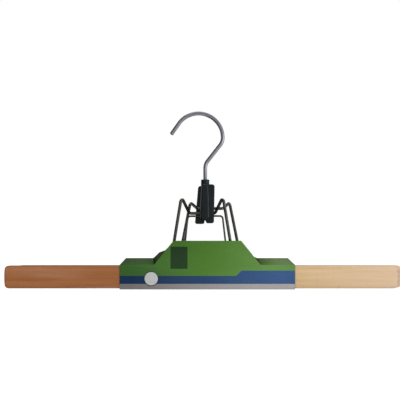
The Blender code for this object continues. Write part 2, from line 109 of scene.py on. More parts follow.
# Bars and liners; the arc is a share of a bar's height
BAR_CORNER = 0.0040
BAR_END_BOW = 0.0010
BAR_END_ARC = 0.6
BAR_INNER_EDGE = 0.0008
LINER_CORNER = 0.0015
LINER_EDGE = 0.0004

# Closing spring
SPRING_WIRE = 0.0018
SPRING_TURNS = 3
SPRING_PITCH = 0.00225
SPRING_RADIUS = 0.0051
SPRING_LEAD = 0.0017
SPRING_LEAD_BEND = 0.0014
SPRING_KNEE_BEND = 0.0028
SPRING_HALVES_GAP = 0.00002
SPRING_TIP_LENGTH = 0.0002
SPRING_TIP_SHARE = 0.75
SPRING_STEPS_A_TURN = 60
SPRING_LEG_STEPS = 24
SPRING_KNEE_X = 0.0170
SPRING_FOOT_X = 0.0230
SPRING_FOOT_HEIGHT = 0.0160

# Hub, with a round neck and a squarer body
HUB_NECK_RADIUS = 0.00410
HUB_HALF_WIDTH = 0.005275
HUB_HALF_DEPTH = 0.0098
HUB_BODY_LENGTH = 0.0166
HUB_SEGMENTS = 96
HUB_ARC_STEPS = 10
HUB_LIP = 0.0003
HUB_SHOULDER_RADIUS = 0.0030
HUB_FOOT_RADIUS = 0.0030
HUB_FLOOR = 0.0030
ROUND = 2.0
SQUARE = 4.0
SPRING_ROOM_RADIUS = 0.0063
SPRING_ROOM_HALF_LENGTH = 0.004575
HOOK_HEAD_ROOM = 0.0030
WING_ROOT = 0.0006
WING_TOP_WIDTH = {FRONT: 0.0092, REAR: 0.0069}
WING_FOOT_WIDTH = {FRONT: 0.0085, REAR: 0.0102}
WING_DROP = 0.0014
WING_INSET = 0.0011
WING_TOP_CORNER = 0.0026
WING_FOOT_CORNER = 0.0020
WING_OUTER_EDGE = 0.0006
WING_INNER_EDGE = 0.0003

# Hook, whose head is given from its base up by rise and radius
HOOK_WIRE = 0.0038
HOOK_SHANK_ABOVE_HUB = 0.0152
HOOK_BOW_RISE = 0.0263
HOOK_BOW_X = -0.0065
HOOK_BOW_RADIUS = 0.0237
HOOK_BOW_START = math.radians(5.0)
HOOK_BOW_END = math.radians(145.0)
HOOK_BOW_STEPS = 60
HOOK_LEAN = math.radians(52.0)
HOOK_BEND = 0.0120
HOOK_BEND_STEPS = 16
HOOK_TIP_LENGTH = 0.0130
HOOK_HEAD_RADIUS = 0.0030
HOOK_HEAD = (
    (0.0, 0.0028),
    (0.0003, HOOK_HEAD_RADIUS),
    (0.0020, HOOK_HEAD_RADIUS),
    (0.0024, 0.00225),
    (0.0027, HOOK_WIRE / 2),
)

# Sleeve, its tabs in half widths. The flare's second number is its rise above the fold, and
# the notch's are heights above the bars' underside
SLEEVE_FOLD = 0.0007
TOP_STRIP_GAP = 0.00035
TOP_STRIP_RISE = 0.0060
TAB_TOP_HALF_WIDTH = 0.0325
TAB_BASE_HALF_WIDTH = 0.0513
REAR_TAB_RIGHT_FLARE = (0.0493, 0.0014)
REAR_TAB_RIGHT_BASE = 0.0526
REAR_TAB_LEFT_TOP = 0.0340
REAR_TAB_LEFT_NOTCH = ((0.0434, 0.0369), (0.0494, 0.0347))
REAR_TAB_LEFT_BASE = 0.0560

# Painted sheen: where the reflection of a bright light on the right turns the wood pale, then paler,
# sideways from the hook's axis, and where in the pattern of the grain each bar is cut
SHEEN_FROM = 0.005
SHEEN_TO = 0.055
BRIGHTEST_SHEEN_FROM = 0.08
BRIGHTEST_SHEEN_TO = 0.19
SHEEN_RAGGED = 0.05
GRAIN_START = {FRONT: -0.5, REAR: 1.3}

# Vertices nearer than this are one, and edges stay sharp above these angles
SAME_PLACE = 1e-6
SMOOTH_ANGLE = math.radians(38.0)
CARVED_ANGLE = math.radians(32.0)
WIRE_ANGLE = math.radians(50.0)

# Stage: where the lamps stand and aim, and what the camera and the floor are like
LAMPS = {
    "key": (0.75, -1.15, 0.75),
    "fill": (-1.00, -1.10, 0.10),
    "top": (0.10, 0.30, 1.35),
    "back": (-0.55, 1.15, 0.35),
}
LAMP_AIM = (0.0, 0.0, -0.11)
LAMP_SIZE = 0.80
CAMERA_X = -0.0031
CAMERA_SHIFT_X = -0.005
CAMERA_SHIFT_Y = 0.125
SENSOR_WIDTH = 36.0
FLOOR_DROP = 0.28
FLOOR_HALF_SIZE = 40.0
FLOOR_COLOURS = ((0.86, 0.86, 0.86), (0.84, 0.84, 0.84))
FLOOR_GLOW = 0.60

# The room that only gloss sees: level directions, right and back, soft edges and brightness
ROOM_LOW_COLOUR = (0.97, 0.98, 0.95)
ROOM_HIGH_COLOUR = (0.80, 0.82, 1.0)
ROOM_COLOUR_EDGE = (-0.1, 0.7)
WALL_SLOPE = (0.36, -0.10)
WALL_GLOW = 0.19
WALL_LEAST = 0.04
TABLE_EDGE = (0.84, 0.93)
TABLE_GLOW = 0.85
WINDOW_WAY = (0.78, -0.62)
WINDOW_EDGE = (0.93, 0.97)
WINDOW_GLOW = 0.90
STRIP_ACROSS = (0.91, -0.42)
STRIP_EDGE = (0.05, 0.09)
STRIP_IN_FRONT = (-0.3, -0.1)
STRIP_GLOW = 0.85
REAR_WINDOW_WAY = (-0.86, 0.50)
REAR_WINDOW_EDGE = (0.84, 0.95)
REAR_WINDOW_GLOW = 0.60


class HangerWires(bpy.types.PropertyGroup):
    """Colours and facets of the hook, the frames and the closing spring."""

    hook_colour: bpy.props.FloatVectorProperty(
        name="Hook", description="Plated hook wire", subtype="COLOR", default=(0.62, 0.62, 0.65)
    )
    frame_colour: bpy.props.FloatVectorProperty(
        name="Frames", description="Dark drawn wire", subtype="COLOR", default=(0.19, 0.205, 0.185)
    )
    round_sides: bpy.props.IntProperty(
        name="Sides", description="Facets round a wire", default=28, min=8
    )
    spring_sides: bpy.props.IntProperty(
        name="Spring sides", description="Facets round the spring's wire", default=20, min=8
    )
    bend_steps: bpy.props.IntProperty(
        name="Bend steps", description="Steps round one bend", default=10, min=3
    )


class HangerHub(bpy.types.PropertyGroup):
    """Colour and sizes of the two moulded shells."""

    colour: bpy.props.FloatVectorProperty(
        name="Plastic", description="Black moulding", subtype="COLOR", default=(0.004, 0.0068, 0.008)
    )
    wing_thickness: bpy.props.FloatProperty(
        name="Wing", description="Thickness of a wing", unit="LENGTH", default=0.0020
    )
    parting_groove: bpy.props.FloatProperty(
        name="Parting line", description="Groove where the shells meet", unit="LENGTH", default=0.00012
    )


class HangerWood(bpy.types.PropertyGroup):
    """Colours of the lacquered bars and their felt liners, and the bars' rounding."""

    brown: bpy.props.FloatVectorProperty(
        name="Wood colour",
        description="Left half of the bars",
        subtype="COLOR",
        default=(0.305, 0.108, 0.026),
    )
    # Painted sheen: the pale right half and paler right end stand for a bright light's reflection on
    # the lacquer
    pale: bpy.props.FloatVectorProperty(
        name="Sheen, right half",
        description="Right half of the bars",
        subtype="COLOR",
        default=(0.57, 0.40, 0.205),
    )
    brightest_sheen: bpy.props.FloatVectorProperty(
        name="Sheen, right end",
        description="Right end of the bars",
        subtype="COLOR",
        default=(0.655, 0.485, 0.335),
    )
    light_streaks: bpy.props.FloatVectorProperty(
        name="Streaks",
        description="Light streaks in the grain",
        subtype="COLOR",
        default=(0.92, 0.80, 0.62),
    )
    flecks: bpy.props.FloatVectorProperty(
        name="Flecks",
        description="Short dark flecks in the grain",
        subtype="COLOR",
        default=(0.06, 0.03, 0.018),
    )
    felt: bpy.props.FloatVectorProperty(
        name="Felt", description="Liners between the bars", subtype="COLOR", default=(0.10, 0.075, 0.06)
    )
    edge_radius: bpy.props.FloatProperty(
        name="Outer edge", description="Rounding of a bar's outer edges", unit="LENGTH", default=0.0028
    )


class HangerCard(bpy.types.PropertyGroup):
    """Colours and thickness of the printed card sleeve."""

    # The left, middle and right colours hold painted light that grows towards the right, as well as the
    # print
    green_left: bpy.props.FloatVectorProperty(
        name="Green, left",
        description="Ground at the left end",
        subtype="COLOR",
        default=(0.044, 0.125, 0.024),
    )
    green_middle: bpy.props.FloatVectorProperty(
        name="Green, middle",
        description="Ground at the middle",
        subtype="COLOR",
        default=(0.064, 0.172, 0.018),
    )
    green_right: bpy.props.FloatVectorProperty(
        name="Green, right",
        description="Ground at the right end",
        subtype="COLOR",
        default=(0.125, 0.265, 0.068),
    )
    blue_left: bpy.props.FloatVectorProperty(
        name="Blue, left",
        description="Band at the left end",
        subtype="COLOR",
        default=(0.009, 0.032, 0.092),
    )
    blue_right: bpy.props.FloatVectorProperty(
        name="Blue, right",
        description="Band at the right end",
        subtype="COLOR",
        default=(0.040, 0.100, 0.240),
    )
    grey_left: bpy.props.FloatVectorProperty(
        name="Grey, left",
        description="Stripe at the left end",
        subtype="COLOR",
        default=(0.19, 0.176, 0.172),
    )
    grey_right: bpy.props.FloatVectorProperty(
        name="Grey, right",
        description="Stripe at the right end",
        subtype="COLOR",
        default=(0.40, 0.375, 0.37),
    )
    panel: bpy.props.FloatVectorProperty(
        name="Panel", description="Dark rectangle", subtype="COLOR", default=(0.014, 0.042, 0.011)
    )
    ring: bpy.props.FloatVectorProperty(
        name="Ring", description="Rim of the disc", subtype="COLOR", default=(0.016, 0.026, 0.050)
    )
    disc: bpy.props.FloatVectorProperty(
        name="Disc", description="Pale disc", subtype="COLOR", default=(0.49, 0.51, 0.49)
    )
    rubbed: bpy.props.FloatVectorProperty(
        name="Rubbed", description="Worn lower folds", subtype="COLOR", default=(0.55, 0.52, 0.47)
    )
    # Painted shade: the unprinted side is darker and greener than the board, for the shade inside the
    # sleeve
    board: bpy.props.FloatVectorProperty(
        name="Board, painted shade", description="Unprinted side", subtype="COLOR", default=(0.036, 0.050, 0.022)
    )
    cut_edge: bpy.props.FloatVectorProperty(
        name="Cut edge", description="Edge of the board", subtype="COLOR", default=(0.22, 0.21, 0.15)
    )
    board_specks: bpy.props.FloatVectorProperty(
        name="Specks", description="Specks in the board", subtype="COLOR", default=(0.05, 0.04, 0.03)
    )
    thickness: bpy.props.FloatProperty(
        name="Card", description="Thickness of the card", unit="LENGTH", default=0.0005
    )


class HangerStage(bpy.types.PropertyGroup):
    """Camera, lamps and surroundings."""

    camera_distance: bpy.props.FloatProperty(
        name="Distance", description="Camera to the hook's axis", unit="LENGTH", default=0.563
    )
    camera_height: bpy.props.FloatProperty(
        name="Height", description="Camera above the bars' underside", unit="LENGTH", default=0.0371
    )
    lens: bpy.props.FloatProperty(
        name="Lens", description="Focal length", unit="CAMERA", default=51.55
    )
    world_strength: bpy.props.FloatProperty(
        name="Ambient", description="World light on the object", default=0.55
    )
    key_power: bpy.props.FloatProperty(
        name="Key", description="Power of the key lamp", unit="POWER", default=13.0
    )
    fill_power: bpy.props.FloatProperty(
        name="Fill", description="Power of each other lamp", unit="POWER", default=5.5
    )
    room_radius: bpy.props.FloatProperty(
        name="Room", description="Radius of the reflected room", unit="LENGTH", default=1.3
    )


class Nodes:
    """A node tree being made: each call adds nodes and returns the last one's output."""

    def __init__(self, tree):
        self.nodes = tree.nodes
        self.links = tree.links

    def feed(self, socket, value):
        """Link a socket to an output, or set it to a number or a colour."""
        if isinstance(value, bpy.types.NodeSocket):
            self.links.new(value, socket)
        elif hasattr(value, "__len__") and len(value) == 3 and socket.type == "RGBA":
            socket.default_value = (*value, 1.0)
        else:
            socket.default_value = value

    def fill(self, node, **values):
        """Feed a node's sockets by their names, an underscore for each space."""
        for name, value in values.items():
            self.feed(node.inputs[name.replace("_", " ")], value)

    def add(self, kind, **values):
        """A new node with some of its sockets fed."""
        node = self.nodes.new(kind)
        self.fill(node, **values)
        return node

    def place(self, stretch=(1.0, 1.0, 1.0), shift=(0.0, 0.0, 0.0), attribute=None):
        """Coordinates of the piece, or one of its attributes, stretched and then shifted."""
        if attribute is None:
            source = self.add("ShaderNodeTexCoord").outputs["Object"]
        else:
            node = self.add("ShaderNodeAttribute")
            node.attribute_name = attribute
            source = node.outputs["Vector"]
        mapping = self.add("ShaderNodeMapping", Vector=source, Scale=stretch, Location=shift)
        return mapping.outputs["Vector"]

    def axes(self, place):
        return tuple(self.add("ShaderNodeSeparateXYZ", Vector=place).outputs)

    def noise(self, place, scale=1.0, detail=3.0, roughness=0.5, warp=0.0):
        node = self.add("ShaderNodeTexNoise", Vector=place, Scale=scale, Detail=detail)
        self.fill(node, Roughness=roughness, Distortion=warp)
        return node.outputs["Fac"]

    def math(self, operation, first, second=0.0, third=0.0):
        node = self.nodes.new("ShaderNodeMath")
        node.operation = operation
        for socket, value in zip(node.inputs, (first, second, third)):
            self.feed(socket, value)
        return node.outputs[0]

    def times(self, first, second):
        return self.math("MULTIPLY", first, second)

    def without(self, share):
        return self.math("SUBTRACT", 1.0, share)

    def span(self, value, low, high, to_low=0.0, to_high=1.0):
        """A value's place between two levels, clamped."""
        node = self.nodes.new("ShaderNodeMapRange")
        node.clamp = True
        for socket, level in zip(node.inputs, (value, low, high, to_low, to_high)):
            self.feed(socket, level)
        return node.outputs[0]

    def spread(self, noise, least=0.0, most=1.0):
        """The levels that a noise mostly has, spread from one value to another."""
        return self.span(noise, 0.3, 0.7, least, most)

    def mix(self, share, first, second, blend="MIX"):
        node = self.nodes.new("ShaderNodeMix")
        node.data_type = "RGBA"
        node.blend_type = blend
        self.feed(node.inputs[0], share)
        self.feed(node.inputs[6], first)
        self.feed(node.inputs[7], second)
        return node.outputs[2]

    def seen_directly(self):
        """One for camera, gloss and transmission rays, nought for the light on the object."""
        path = self.nodes.new("ShaderNodeLightPath").outputs
        seen = self.math("MAXIMUM", path["Is Camera Ray"], path["Is Glossy Ray"])
        return self.math("MAXIMUM", seen, path["Is Transmission Ray"])


class Finish(Nodes):
    """A material being made."""

    def __init__(self, name):
        self.material = bpy.data.materials.new(name)
        self.material.use_nodes = True
        super().__init__(self.material.node_tree)
        self.shader = self.nodes["Principled BSDF"]

    def surface(self, **values):
        """Feed the shader's own sockets."""
        self.fill(self.shader, **values)

    def bump(self, height, depth, strength=1.0):
        node = self.add("ShaderNodeBump", Height=height, Distance=depth, Strength=strength)
        self.surface(Normal=node.outputs["Normal"])


def plated_wire(wires):
    """Bright plating: faint drawing lines along the wire and a little haze."""
    made = Finish("plated hook wire")
    lines = made.noise(made.place((60.0, 2600.0, 2600.0), attribute="lay"), detail=4.0)
    haze = made.noise(made.place(attribute="lay"), scale=210.0)
    worn = made.times(lines, haze)
    made.surface(
        Base_Color=made.mix(haze, wires.hook_colour, [0.86 * c for c in wires.hook_colour]),
        Metallic=1.0,
        Roughness=made.span(worn, 0.10, 0.45, 0.06, 0.18),
    )
    made.bump(lines, 0.00002, 0.6)
    return made.material


def dark_wire(wires):
    """Oiled dark steel: drawing lines, mottled oxide and brighter rubbed patches."""
    made = Finish("dark drawn wire")
    lines = made.noise(made.place((45.0, 2200.0, 2200.0), attribute="lay"), detail=4.0)
    mottle = made.noise(made.place(attribute="lay"), scale=330.0, detail=5.0, roughness=0.6)
    rubbed = made.span(mottle, 0.52, 0.72)
    dark = [0.62 * c for c in wires.frame_colour]
    bright = [1.3 * c for c in wires.frame_colour]
    tone = made.mix(made.spread(lines), dark, wires.frame_colour)
    made.surface(
        Base_Color=made.mix(rubbed, tone, bright),
        Metallic=1.0,
        Roughness=made.spread(mottle, 0.34, 0.18),
    )
    made.bump(lines, 0.00003, 0.7)
    return made.material


def black_moulding(hub):
    """Satin black plastic with a fine spark-eroded grain and shinier rubbed patches."""
    made = Finish("black moulded plastic")
    place = made.place()
    grain = made.noise(place, scale=3800.0, detail=2.0, roughness=0.6)
    patches = made.noise(place, scale=150.0, detail=4.0, roughness=0.55)
    grey = [1.35 * c + 0.001 for c in hub.colour]
    made.surface(
        Base_Color=made.mix(made.span(patches, 0.45, 0.75), hub.colour, grey),
        Roughness=made.spread(patches, 0.25, 0.16),
        Specular_IOR_Level=0.5,
    )
    made.bump(grain, 0.00002, 0.35)
    return made.material


def lacquered_wood(wood, name, offset):
    """Beech: growth rings, long streaks, short flecks, brown passing to a pale painted sheen on the
    right.
    """
    made = Finish(name)
    rings_place = made.place((1.2, 42.0, 42.0), (offset, -1.7 + offset, 3.1))
    wave = made.add("ShaderNodeTexWave", Vector=rings_place, Scale=1.5, Distortion=1.8)
    made.fill(wave, Detail=3.0, Detail_Scale=1.4)
    wave.wave_type = "RINGS"
    wave.rings_direction = "X"
    wave.wave_profile = "SAW"

    def grain(along, across, detail, roughness=0.5):
        drawn_out = made.place((along, across, across), (offset, 0.0, 0.0))
        return made.noise(drawn_out, detail=detail, roughness=roughness)

    streaks = grain(7.0, 420.0, 5.0)
    broad = grain(9.0, 70.0, 3.0)
    fine = grain(26.0, 2300.0, 4.0, 0.6)
    flecks = made.span(made.noise(made.place((190.0, 1700.0, 1700.0)), detail=2.0), 0.62, 0.74)

    along, _, _ = made.axes(made.place())
    # Painted sheen: the wood pales towards the right for the reflection of a bright light there, its
    # edge ragged with the grain
    ragged = made.math("MULTIPLY_ADD", broad, SHEEN_RAGGED, along)
    right = made.mix(made.span(along, BRIGHTEST_SHEEN_FROM, BRIGHTEST_SHEEN_TO), wood.pale, wood.brightest_sheen)
    tone = made.mix(made.span(ragged, SHEEN_FROM, SHEEN_TO), wood.brown, right)
    darker = made.mix(0.78, tone, tone, "MULTIPLY")
    layers = (
        (wave.outputs["Fac"], 0.0, 1.0, 0.16),
        (streaks, 0.35, 0.70, 0.26),
        (fine, 0.38, 0.68, 0.30),
    )
    for layer, low, high, most in layers:
        tone = made.mix(made.span(layer, low, high, 0.0, most), tone, darker)
    lighter = made.mix(0.30, tone, wood.light_streaks)
    tone = made.mix(made.span(broad, 0.50, 0.75, 0.0, 0.30), tone, lighter)
    dark = made.mix(0.60, tone, wood.flecks)
    made.surface(
        Base_Color=made.mix(made.times(flecks, 0.55), tone, dark),
        Roughness=made.spread(streaks, 0.36, 0.50),
        Specular_IOR_Level=0.4,
        Coat_Weight=0.25,
        Coat_Roughness=0.28,
    )
    pores = made.math("MULTIPLY_ADD", flecks, -1.0, made.math("ADD", streaks, fine))
    made.bump(pores, 0.00005, 0.5)
    return made.material


def pressed_felt(wood):
    """Felt: a mat of short fibres, with painted shade darkening its hollows."""
    made = Finish("pressed felt")
    place = made.place()
    fibres = made.noise(place, scale=1600.0, detail=6.0, roughness=0.7, warp=1.6)
    lumps = made.noise(place, scale=260.0)
    # Painted shade: darker where the fibres lie low in the bump, lighter on their tops
    light = [1.7 * c for c in wood.felt]
    made.surface(
        Base_Color=made.mix(made.span(fibres, 0.35, 0.7), wood.felt, light),
        Roughness=0.95,
        Sheen_Weight=0.35,
        Sheen_Roughness=0.5,
    )
    made.bump(made.math("MULTIPLY_ADD", lumps, 0.5, fibres), 0.0004, 0.8)
    return made.material


# The print's edges, in millimetres
BLUE_LOW = 4.6
BLUE_HIGH_LEFT = 12.3
BLUE_HIGH_RIGHT = 17.3
BLUE_STEP_X = 29.8
BLUE_STEP_LENGTH = 5.0
DISC_X = -51.8
DISC_HEIGHT = 9.6
DISC_RADIUS = 7.1
DISC_RING = 0.75
PANEL_LEFT = -33.3
PANEL_RIGHT = -17.0
PANEL_LOW = 19.0
PANEL_HIGH = 40.3
TONE_LEFT = -78.0
TONE_RIGHT = 82.0
WALL_PRINT_DEPTH = 0.6
STRIP_LEAST = 20.0
FOLD_WORN = -0.75
FOLD_CLEAN = -0.2

# How fast the colours lighten from left to right: partly the print's own gradient, partly painted light
# that grows towards the right
TONE_POWER = 1.5
GREEN_MIDDLE_TONE = 0.35
BLUE_POWER = 1.35
# Painted shade on the strips along the top
TOP_STRIP_SHADE = (0.96, 0.80, 0.92)


class Print(Finish):
    """Print with masks in millimetres, sideways from the hook's axis and up from the bars."""

    def __init__(self, name):
        super().__init__(name)
        place = self.place((1000.0, 1000.0, 1000.0), (0.0, 0.0, -1000.0 * UNDERSIDE))
        self.x, self.y, self.height = self.axes(place)
        low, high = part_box("card_sleeve")
        self.behind_front = 1000.0 * low.y + WALL_PRINT_DEPTH
        self.before_back = 1000.0 * high.y - WALL_PRINT_DEPTH

    def above(self, value, level, soft=0.12):
        """One above a level, nought below it, with a soft step."""
        return self.span(value, level - soft, level + soft)

    def within(self, value, low, high):
        """One between two levels."""
        below = self.without(self.above(value, high))
        return self.times(self.above(value, low), below)

    def rectangle(self, left, right, low, high):
        across = self.within(self.x, left, right)
        return self.times(across, self.within(self.height, low, high))

    def disc(self, x, height, radius):
        dx = self.math("SUBTRACT", self.x, x)
        dh = self.math("SUBTRACT", self.height, height)
        square = self.math("MULTIPLY_ADD", dx, dx, self.times(dh, dh))
        distance = self.math("SQRT", square)
        return self.without(self.above(distance, radius))

    def facing_front(self):
        """One on the sleeve's front wall and tab, nought on its other walls."""
        return self.without(self.above(self.y, self.behind_front, 0.05))

    def between_walls(self):
        """One on the strips along the top and on the underside, nought on the walls and tabs."""
        return self.within(self.y, self.behind_front, self.before_back)

    def facing_up(self):
        """One on the strips along the top alone."""
        return self.times(self.between_walls(), self.above(self.height, STRIP_LEAST))


def printed_card(card):
    """Semi-gloss print: green over a stepped blue band and a grey stripe, a disc and a panel."""
    made = Print("printed card")
    # Partly print, partly painted light: the colours lighten towards the right
    tone = made.math("POWER", made.span(made.x, TONE_LEFT, TONE_RIGHT), TONE_POWER)
    green = made.mix(made.span(tone, 0.0, GREEN_MIDDLE_TONE), card.green_left, card.green_middle)
    green = made.mix(made.span(tone, GREEN_MIDDLE_TONE, 1.0), green, card.green_right)
    blue = made.mix(made.math("POWER", tone, BLUE_POWER), card.blue_left, card.blue_right)
    grey = made.mix(tone, card.grey_left, card.grey_right)

    # The blue band's upper edge steps up along a short slope
    step_end = BLUE_STEP_X + BLUE_STEP_LENGTH
    rise = made.span(made.x, BLUE_STEP_X, step_end, BLUE_HIGH_LEFT, BLUE_HIGH_RIGHT)
    over = made.math("SUBTRACT", made.height, rise)
    colour = made.mix(made.above(over, 0.0), blue, green)
    colour = made.mix(made.above(made.height, BLUE_LOW), grey, colour)

    front = made.facing_front()
    marks = (
        (made.rectangle(PANEL_LEFT, PANEL_RIGHT, PANEL_LOW, PANEL_HIGH), card.panel),
        (made.disc(DISC_X, DISC_HEIGHT, DISC_RADIUS), card.ring),
        (made.disc(DISC_X, DISC_HEIGHT, DISC_RADIUS - DISC_RING), card.disc),
    )
    for mask, mark_colour in marks:
        colour = made.mix(made.times(front, mask), colour, mark_colour)

    # Painted shade: the strips along the top are darkened and turned olive for the shade on them
    painted_shade = made.mix(1.0, colour, TOP_STRIP_SHADE, "MULTIPLY")
    colour = made.mix(made.facing_up(), colour, painted_shade)

    # Press grain, and board that shows where the lower folds have rubbed
    place = made.place()
    grain = made.noise(place, scale=900.0, detail=4.0, roughness=0.6)
    blotch = made.noise(place, scale=60.0)
    colour = made.mix(made.spread(grain, 0.0, 0.16), colour, (0.0, 0.0, 0.0))
    rub = made.noise(place, scale=420.0, detail=5.0, roughness=0.7)
    low_fold = made.span(made.height, FOLD_WORN, FOLD_CLEAN, 1.0, 0.0)
    low_fold = made.times(low_fold, made.without(made.between_walls()))
    worn = made.times(low_fold, made.span(rub, 0.52, 0.66, 0.0, 0.7))
    colour = made.mix(worn, colour, card.rubbed)
    made.surface(
        Base_Color=colour,
        Roughness=made.spread(blotch, 0.44, 0.52),
        Specular_IOR_Level=0.30,
    )
    made.bump(grain, 0.00003, 0.4)
    return made.material


def bare_board(name, colour, specks_colour):
    """Unprinted board with fibres and specks, or its cut edge."""
    made = Finish(name)
    place = made.place()
    fibres = made.noise(place, scale=700.0, detail=6.0, roughness=0.7, warp=2.0)
    specks = made.span(made.noise(place, scale=1500.0, detail=2.0), 0.66, 0.74)
    tone = made.mix(made.spread(fibres), [0.82 * c for c in colour], colour)
    made.surface(
        Base_Color=made.mix(made.times(specks, 0.5), tone, specks_colour),
        Roughness=0.85,
        Specular_IOR_Level=0.2,
    )
    made.bump(fibres, 0.00006, 0.6)
    return made.material


def put(name, data):
    """An object for a mesh, a lamp or a camera, in the scene."""
    placed = bpy.data.objects.new(name, data)
    bpy.context.scene.collection.objects.link(placed)
    return placed


def put_mesh(name, work):
    """An object for what a bmesh holds."""
    data = bpy.data.meshes.new(name)
    work.to_mesh(data)
    work.free()
    return put(name, data)


def shade(piece, sharp_above):
    """Shade smooth, but for edges above an angle."""
    piece.data.shade_smooth()
    piece.data.set_sharp_from_angle(angle=sharp_above)


def keep_mesh(name, work, finishes, sharp_above=SMOOTH_ANGLE):
    """Turn a bmesh into a finished piece at the origin."""
    piece = put_mesh(name, work)
    for finish in finishes:
        piece.data.materials.append(finish)
    shade(piece, sharp_above)
    return piece


def face_out(work):
    """Turn every face outwards."""
    bmesh.ops.recalc_face_normals(work, faces=work.faces)


def carve(piece, work, operation="DIFFERENCE"):
    """Cut a tool out of a piece, or join it on, and throw the tool away."""
    face_out(work)
    tool = put_mesh("tool", work)
    modifier = piece.modifiers.new("carve", "BOOLEAN")
    modifier.operation = operation
    modifier.solver = "EXACT"
    modifier.object = tool
    graph = bpy.context.evaluated_depsgraph_get()
    carved = bpy.data.meshes.new_from_object(piece.evaluated_get(graph))
    piece.modifiers.clear()
    piece.data = carved
    bpy.data.objects.remove(tool)


def settle(piece):
    """Merge what the carving left doubled, and shade smooth again."""
    work = bmesh.new()
    work.from_mesh(piece.data)
    bmesh.ops.remove_doubles(work, verts=work.verts, dist=SAME_PLACE)
    work.to_mesh(piece.data)
    work.free()
    shade(piece, CARVED_ANGLE)


def finish_piece(piece, body, slot, *nodes):
    """Attach a piece to the body it rides on and hide the nodes it stands for. The slot is not used."""
    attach(piece, body)
    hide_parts(*nodes)


def at(x, y, height):
    """A point of the frame from its height above the bars' underside."""
    return Vector((x, y, UNDERSIDE + height))


def bent_path(corners, bends, steps):
    """A centre line: straight runs between corners, each corner bent to its own radius."""
    path = [corners[0]]
    for before, corner, after, bend in zip(corners, corners[1:], corners[2:], bends):
        back = (before - corner).normalized()
        ahead = (after - corner).normalized()
        half_turn = (math.pi - back.angle(ahead)) / 2
        run = bend * math.tan(half_turn)
        centre = corner + (back + ahead).normalized() * bend / math.cos(half_turn)
        first = corner + back * run - centre
        axis = first.cross(corner + ahead * run - centre).normalized()
        for step in range(steps + 1):
            turn = Matrix.Rotation(2 * half_turn * step / steps, 3, axis)
            path.append(centre + turn @ first)
    path.append(corners[-1])
    return path


def round_off(path, radius, steps=4):
    """Stations of a wire whose ends are rounded over by half its radius: (place, radius) pairs."""
    edge = radius / 2
    stations = [(place, radius) for place in path[1:-1]]
    for end, inner in ((0, 1), (-1, -2)):
        out = (path[end] - path[inner]).normalized()
        cap = []
        for step in range(steps + 1):
            turn = WIRE_END_TURN * step / steps
            back = edge * (1 - math.sin(turn))
            cap.append((path[end] - out * back, edge + edge * math.cos(turn)))
        stations = cap[::-1] + stations if end == 0 else stations + cap
    return stations


def bridge(work, rings):
    """Join rings of vertices with faces, each to the next. Returns the edges of the two ends."""
    loops = [{edge for vert in ring for edge in vert.link_edges} for ring in rings]
    for near, far in zip(loops, loops[1:]):
        bmesh.ops.bridge_loops(work, edges=list(near | far))
    return list(loops[0] | loops[-1])


def wire_mesh(stations, sides):
    """Round wire through stations, closed at both ends, with its unrolled place as "lay"."""
    work = bmesh.new()
    lay = work.verts.layers.float_vector.new("lay")
    rings = []
    normal = None
    along = 0.0
    last = len(stations) - 1
    for index, (place, radius) in enumerate(stations):
        ahead = stations[min(index + 1, last)][0] - stations[max(index - 1, 0)][0]
        ahead.normalize()
        if normal is None:
            normal = ahead.orthogonal().normalized()
        normal = (normal - ahead * normal.dot(ahead)).normalized()
        turn = Matrix((normal, ahead.cross(normal), ahead)).transposed().to_4x4()
        if index:
            along += (place - stations[index - 1][0]).length
        made = bmesh.ops.create_circle(
            work,
            cap_ends=index in (0, last),
            segments=sides,
            radius=radius,
            matrix=Matrix.Translation(place) @ turn,
        )
        for step, vert in enumerate(made["verts"]):
            angle = 2 * math.pi * step / sides
            vert[lay] = (along, radius * math.cos(angle), radius * math.sin(angle))
        rings.append(made["verts"])
    bridge(work, rings)
    face_out(work)
    return work


def rod(start, end, radius, segments=48):
    """A round tool between two points."""
    along = end - start
    turn = along.to_track_quat("Z", "Y").to_matrix().to_4x4()
    work = bmesh.new()
    bmesh.ops.create_cone(
        work,
        cap_ends=True,
        segments=segments,
        radius1=radius,
        radius2=radius,
        depth=along.length,
        matrix=Matrix.Translation((start + end) / 2) @ turn,
    )
    return work


def round_edges(work, edges, radius, segments):
    """Round a bmesh's edges to a radius."""
    bmesh.ops.bevel(
        work,
        geom=edges,
        offset=radius,
        offset_type="OFFSET",
        affect="EDGES",
        segments=segments,
        profile=0.5,
        material=-1,
        clamp_overlap=True,
    )


def plate(corners, near_y, far_y, steps=8):
    """A flat plate between two depths, its outline from (x, z, radius) corners."""
    work = bmesh.new()
    places = [Vector((x, near_y, z)) for x, z, _ in corners]
    ring = []
    for index, (_, _, radius) in enumerate(corners):
        after = places[(index + 1) % len(places)]
        if radius == 0.0:
            ring.append(places[index])
        else:
            ring += bent_path([places[index - 1], places[index], after], [radius], steps)[1:-1]
    face = work.faces.new([work.verts.new(place) for place in ring])
    raised = bmesh.ops.extrude_face_region(work, geom=[face])
    verts = [v for v in raised["geom"] if isinstance(v, bmesh.types.BMVert)]
    bmesh.ops.translate(work, vec=(0.0, far_y - near_y, 0.0), verts=verts)
    face_out(work)
    return work


def rim(work, depth_y):
    """The edges round the flat face that lies at a depth."""
    return [
        edge for edge in work.edges
        if all(abs(vert.co.y - depth_y) < SAME_PLACE for vert in edge.verts)
    ]


def jaw_box(side, kind):
    """The box of one side's bar or liner, and the depths of its gripping and its outer face."""
    low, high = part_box(f"{SIDES[side]}_{kind}")
    inner, outer = (high.y, low.y) if side == FRONT else (low.y, high.y)
    return low, high, inner, outer


